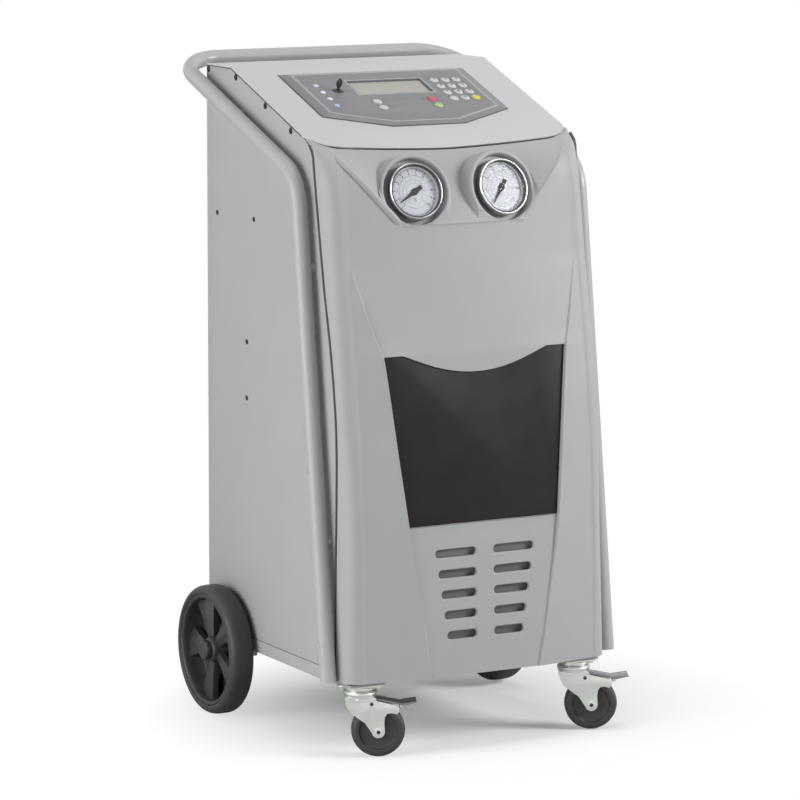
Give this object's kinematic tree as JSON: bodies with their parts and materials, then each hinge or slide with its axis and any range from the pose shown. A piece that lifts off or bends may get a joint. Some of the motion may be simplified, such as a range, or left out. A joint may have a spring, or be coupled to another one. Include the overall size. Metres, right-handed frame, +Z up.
{
  "type": "air conditioning service station",
  "caption": "Upright refrigerant service station for vehicle air conditioning, on rear wheels and braked casters, with sloping control panel, pressure gauges and tubular push handle.",
  "frame": {"origin": "on the floor, below the middle of the machine's overall box", "axes": "+Z up, the front with the gauges faces -Y, +X is the right-hand side seen from the front"},
  "size_m": [0.676, 0.7007, 1.2671],
  "materials": {
    "cabinet_paint": "semi-gloss silver-grey paint",
    "lid_paint": "semi-gloss pale silver paint",
    "cover_paint": "silver-painted moulded plastic, satin",
    "tube_paint": "semi-gloss silver-grey paint",
    "label_face": "near-black plate, satin",
    "panel_grey": "grey moulded plastic, satin",
    "display": "grey display window",
    "key_grey": "pale grey keycap",
    "key_yellow": "yellow keycap",
    "key_red": "red keycap",
    "key_green": "green keycap",
    "board": "circuit board with lamps",
    "lock_steel": "plated lock barrel",
    "black_plastic": "black plastic",
    "gauge_case": "black steel case with a bright bezel",
    "dial": "white printed dial",
    "lens": "clear flat lens",
    "pointer": "black pointer",
    "wheel_plastic": "black moulded wheel",
    "tyre_rubber": "solid black rubber",
    "caster_rubber": "solid black rubber wheel",
    "zinc": "bright zinc plate",
    "axle_steel": "bright steel",
    "pedal_steel": "dark steel",
    "switch_red": "red rocker",
    "port_steel": "plated couplings",
    "tank_enamel": "enamelled steel",
    "compressor_black": "black enamelled steel",
    "bare_aluminium": "bare aluminium"
  },
  "bodies": {
    "cabinet": {"chassis": "cabinet_paint", "side_panel_left": "cabinet_paint", "side_panel_right": "cabinet_paint", "rear_panel": "cabinet_paint", "top_lid": "lid_paint", "front_cover": "cover_paint", "label_plate": "label_face", "handle_tube": "tube_paint", "control_panel": "panel_grey", "display_window": "display", "control_board": "board", "lock_barrel": "lock_steel", "mains_inlet": "black_plastic", "low_pressure_gauge_case": "gauge_case", "low_pressure_gauge_dial": "dial", "low_pressure_gauge_lens": "lens", "high_pressure_gauge_case": "gauge_case", "high_pressure_gauge_dial": "dial", "high_pressure_gauge_lens": "lens", "caster_plate_left": "zinc", "caster_plate_right": "zinc", "rear_axle": "axle_steel", "hose_ports": "port_steel", "refrigerant_tank": "tank_enamel", "compressor": "compressor_black", "weighing_platform": "bare_aluminium", "vacuum_pump": "bare_aluminium", "condenser": "bare_aluminium", "valve_manifold": "bare_aluminium"},
    "rear_wheel_left": {"rear_wheel_left": "wheel_plastic", "rear_tyre_left": "tyre_rubber"},
    "caster_left": {"caster_fork_left": "zinc"},
    "caster_left_wheel": {"caster_wheel_left": "caster_rubber"},
    "caster_left_pedal": {"brake_pedal_left": "pedal_steel"},
    "rear_wheel_right": {"rear_wheel_right": "wheel_plastic", "rear_tyre_right": "tyre_rubber"},
    "caster_right": {"caster_fork_right": "zinc"},
    "caster_right_wheel": {"caster_wheel_right": "caster_rubber"},
    "caster_right_pedal": {"brake_pedal_right": "pedal_steel"},
    "keypad_key_01": {"keypad_key_01": "key_grey"},
    "keypad_key_02": {"keypad_key_02": "key_grey"},
    "keypad_key_03": {"keypad_key_03": "key_grey"},
    "keypad_key_04": {"keypad_key_04": "key_grey"},
    "keypad_key_05": {"keypad_key_05": "key_grey"},
    "keypad_key_06": {"keypad_key_06": "key_grey"},
    "keypad_key_07": {"keypad_key_07": "key_grey"},
    "keypad_key_08": {"keypad_key_08": "key_grey"},
    "keypad_key_09": {"keypad_key_09": "key_grey"},
    "keypad_key_10": {"keypad_key_10": "key_grey"},
    "keypad_key_11": {"keypad_key_11": "key_grey"},
    "keypad_key_12": {"keypad_key_12": "key_yellow"},
    "stop_key": {"stop_key": "key_red"},
    "start_key": {"start_key": "key_green"},
    "menu_key_upper": {"menu_key_upper": "key_grey"},
    "menu_key_lower": {"menu_key_lower": "key_grey"},
    "switch_key": {"switch_key": "black_plastic"},
    "power_switch": {"power_switch": "switch_red"},
    "low_pointer": {"low_pressure_gauge_pointer": "pointer"},
    "high_pointer": {"high_pressure_gauge_pointer": "pointer"},
    "fan": {"fan_rotor": "black_plastic"}
  },
  "joints": [
    {"name": "rear_wheel_left_spin", "type": "hinge", "parent": "cabinet", "child": "rear_wheel_left", "pos_m": [-0.3335, 0.159, 0.125], "axis": [1, 0, 0], "continuous": true},
    {"name": "caster_left_swivel", "type": "hinge", "parent": "cabinet", "child": "caster_left", "pos_m": [-0.2305, -0.283, 0.1135], "axis": [0, 0, 1], "continuous": true},
    {"name": "caster_left_roll", "type": "hinge", "parent": "caster_left", "child": "caster_left_wheel", "pos_m": [-0.2011, -0.29798, 0.05], "axis": [0.454, 0.891, 0], "continuous": true},
    {"name": "caster_left_brake", "type": "hinge", "parent": "caster_left", "child": "caster_left_pedal", "pos_m": [-0.21223, -0.29231, 0.1093], "axis": [0.454, 0.891, 0], "range_deg": [0, 9]},
    {"name": "rear_wheel_right_spin", "type": "hinge", "parent": "cabinet", "child": "rear_wheel_right", "pos_m": [0.3335, 0.159, 0.125], "axis": [1, 0, 0], "continuous": true},
    {"name": "caster_right_swivel", "type": "hinge", "parent": "cabinet", "child": "caster_right", "pos_m": [0.2305, -0.283, 0.1135], "axis": [0, 0, 1], "continuous": true},
    {"name": "caster_right_roll", "type": "hinge", "parent": "caster_right", "child": "caster_right_wheel", "pos_m": [0.2599, -0.29798, 0.05], "axis": [0.454, 0.891, 0], "continuous": true},
    {"name": "caster_right_brake", "type": "hinge", "parent": "caster_right", "child": "caster_right_pedal", "pos_m": [0.24877, -0.29231, 0.1093], "axis": [0.454, 0.891, 0], "range_deg": [0, 9]},
    {"name": "keypad_key_01_press", "type": "slide", "parent": "cabinet", "child": "keypad_key_01", "axis": [0, 0.342, -0.9397], "range_m": [0, 0.0008], "stiffness_N_per_m": 600, "springref_m": -0.001},
    {"name": "keypad_key_02_press", "type": "slide", "parent": "cabinet", "child": "keypad_key_02", "axis": [0, 0.342, -0.9397], "range_m": [0, 0.0008], "stiffness_N_per_m": 600, "springref_m": -0.001},
    {"name": "keypad_key_03_press", "type": "slide", "parent": "cabinet", "child": "keypad_key_03", "axis": [0, 0.342, -0.9397], "range_m": [0, 0.0008], "stiffness_N_per_m": 600, "springref_m": -0.001},
    {"name": "keypad_key_04_press", "type": "slide", "parent": "cabinet", "child": "keypad_key_04", "axis": [0, 0.342, -0.9397], "range_m": [0, 0.0008], "stiffness_N_per_m": 600, "springref_m": -0.001},
    {"name": "keypad_key_05_press", "type": "slide", "parent": "cabinet", "child": "keypad_key_05", "axis": [0, 0.342, -0.9397], "range_m": [0, 0.0008], "stiffness_N_per_m": 600, "springref_m": -0.001},
    {"name": "keypad_key_06_press", "type": "slide", "parent": "cabinet", "child": "keypad_key_06", "axis": [0, 0.342, -0.9397], "range_m": [0, 0.0008], "stiffness_N_per_m": 600, "springref_m": -0.001},
    {"name": "keypad_key_07_press", "type": "slide", "parent": "cabinet", "child": "keypad_key_07", "axis": [0, 0.342, -0.9397], "range_m": [0, 0.0008], "stiffness_N_per_m": 600, "springref_m": -0.001},
    {"name": "keypad_key_08_press", "type": "slide", "parent": "cabinet", "child": "keypad_key_08", "axis": [0, 0.342, -0.9397], "range_m": [0, 0.0008], "stiffness_N_per_m": 600, "springref_m": -0.001},
    {"name": "keypad_key_09_press", "type": "slide", "parent": "cabinet", "child": "keypad_key_09", "axis": [0, 0.342, -0.9397], "range_m": [0, 0.0008], "stiffness_N_per_m": 600, "springref_m": -0.001},
    {"name": "keypad_key_10_press", "type": "slide", "parent": "cabinet", "child": "keypad_key_10", "axis": [0, 0.342, -0.9397], "range_m": [0, 0.0008], "stiffness_N_per_m": 600, "springref_m": -0.001},
    {"name": "keypad_key_11_press", "type": "slide", "parent": "cabinet", "child": "keypad_key_11", "axis": [0, 0.342, -0.9397], "range_m": [0, 0.0008], "stiffness_N_per_m": 600, "springref_m": -0.001},
    {"name": "keypad_key_12_press", "type": "slide", "parent": "cabinet", "child": "keypad_key_12", "axis": [0, 0.342, -0.9397], "range_m": [0, 0.0008], "stiffness_N_per_m": 600, "springref_m": -0.001},
    {"name": "stop_key_press", "type": "slide", "parent": "cabinet", "child": "stop_key", "axis": [0, 0.342, -0.9397], "range_m": [0, 0.0008], "stiffness_N_per_m": 600, "springref_m": -0.001},
    {"name": "start_key_press", "type": "slide", "parent": "cabinet", "child": "start_key", "axis": [0, 0.342, -0.9397], "range_m": [0, 0.0008], "stiffness_N_per_m": 600, "springref_m": -0.001},
    {"name": "menu_key_upper_press", "type": "slide", "parent": "cabinet", "child": "menu_key_upper", "axis": [0, 0.342, -0.9397], "range_m": [0, 0.0008], "stiffness_N_per_m": 600, "springref_m": -0.001},
    {"name": "menu_key_lower_press", "type": "slide", "parent": "cabinet", "child": "menu_key_lower", "axis": [0, 0.342, -0.9397], "range_m": [0, 0.0008], "stiffness_N_per_m": 600, "springref_m": -0.001},
    {"name": "switch_key_turn", "type": "hinge", "parent": "cabinet", "child": "switch_key", "pos_m": [-0.1175, 0.01563, 1.20852], "axis": [0, -0.342, 0.9397], "range_deg": [-90, 0]},
    {"name": "power_switch_rock", "type": "hinge", "parent": "cabinet", "child": "power_switch", "pos_m": [0.165, 0.247, 0.2515], "axis": [1, 0, 0], "range_deg": [0, 12]},
    {"name": "low_pointer_sweep", "type": "hinge", "parent": "cabinet", "child": "low_pointer", "pos_m": [-0.09239, -0.23549, 1.0376], "axis": [0.0746, 0.9481, -0.309], "range_deg": [-12, 258], "stiffness_Nm_per_rad": 0.01},
    {"name": "high_pointer_sweep", "type": "hinge", "parent": "cabinet", "child": "high_pointer", "pos_m": [0.09239, -0.23549, 1.0376], "axis": [-0.0746, 0.9481, -0.309], "range_deg": [0, 270], "stiffness_Nm_per_rad": 0.01},
    {"name": "fan_spin", "type": "hinge", "parent": "cabinet", "child": "fan", "pos_m": [0, -0.145, 0.2494], "axis": [0, 1, 0], "continuous": true}
  ]
}
